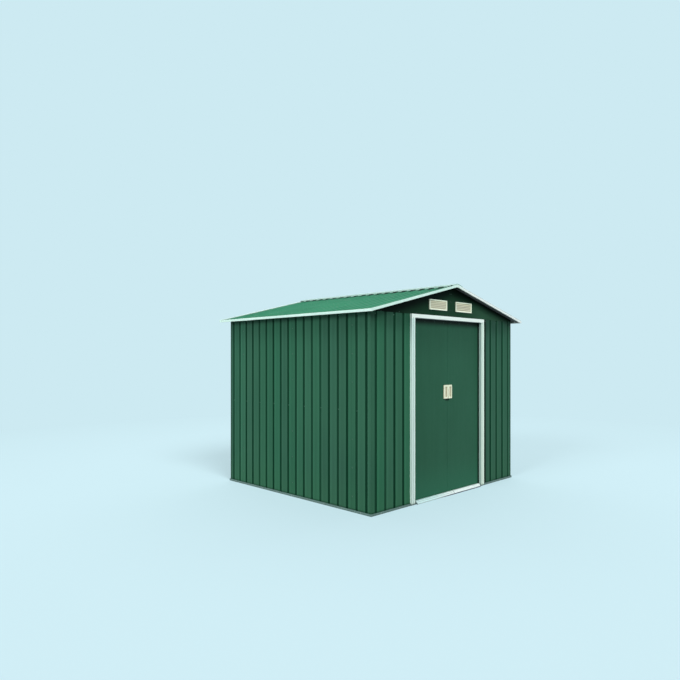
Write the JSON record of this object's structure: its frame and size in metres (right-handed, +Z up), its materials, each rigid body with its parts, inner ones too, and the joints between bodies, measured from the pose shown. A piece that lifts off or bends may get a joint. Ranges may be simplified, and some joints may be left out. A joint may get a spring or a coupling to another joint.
{
  "type": "metal tool shed",
  "caption": "Small gable-roofed storage shed of ribbed painted sheet steel with flush double sliding doors, a channel base frame and louvred gable vents.",
  "frame": {"origin": "on the ground, in the middle of the plan, at the underside of the base rails", "axes": "+X to the right along the front wall seen from outside, +Y from the front wall to the back wall, +Z up"},
  "size_m": [2.1466, 2.0436, 1.8257],
  "materials": {
    "wall_green": "satin",
    "roof_green": "satin",
    "door_green": "satin",
    "gable_green": "satin",
    "trim_white": "satin",
    "galvanised": "satin",
    "cream_plastic": "matte",
    "black_plastic": "matte"
  },
  "bodies": {
    "root": {"base_rail_front": "galvanised", "base_rail_right": "galvanised", "base_rail_back": "galvanised", "base_rail_left": "galvanised", "threshold_ramp": "trim_white", "corner_panel_front_left": "wall_green", "corner_panel_front_right": "wall_green", "corner_panel_back_right": "wall_green", "corner_panel_back_left": "wall_green", "wall_panels_right": "wall_green", "wall_panels_back": "wall_green", "wall_panels_left": "wall_green", "top_rail_left": "galvanised", "top_rail_right": "galvanised", "top_rail_back": "galvanised", "mid_rails": "galvanised", "upper_door_track": "galvanised", "lower_door_track": "galvanised", "door_jamb_left": "trim_white", "door_jamb_right": "trim_white", "door_head_rail": "trim_white", "gable_front_left": "gable_green", "gable_front_right": "gable_green", "gable_back_left": "gable_green", "gable_back_right": "gable_green", "gable_vents_front": "cream_plastic", "gable_vents_back": "cream_plastic", "roof_sheets_left": "roof_green", "roof_sheets_right": "roof_green", "ridge_cap": "trim_white", "ridge_beam": "galvanised", "purlins": "galvanised", "eave_trim_left": "trim_white", "eave_trim_right": "trim_white", "verge_trims_front": "trim_white", "verge_trims_back": "trim_white", "roof_corner_caps": "trim_white"},
    "left_door": {"door_leaf_left": "door_green", "door_braces_left": "galvanised", "door_glides_left": "black_plastic", "door_handle_left": "cream_plastic"},
    "right_door": {"door_leaf_right": "door_green", "door_braces_right": "galvanised", "door_glides_right": "black_plastic", "door_handle_right": "cream_plastic"}
  },
  "joints": [
    {"name": "left_door_slide", "type": "slide", "parent": "root", "child": "left_door", "axis": [-1, 0, 0], "range_m": [0, 0.4]},
    {"name": "right_door_slide", "type": "slide", "parent": "root", "child": "right_door", "axis": [1, 0, 0], "range_m": [0, 0.4]}
  ]
}
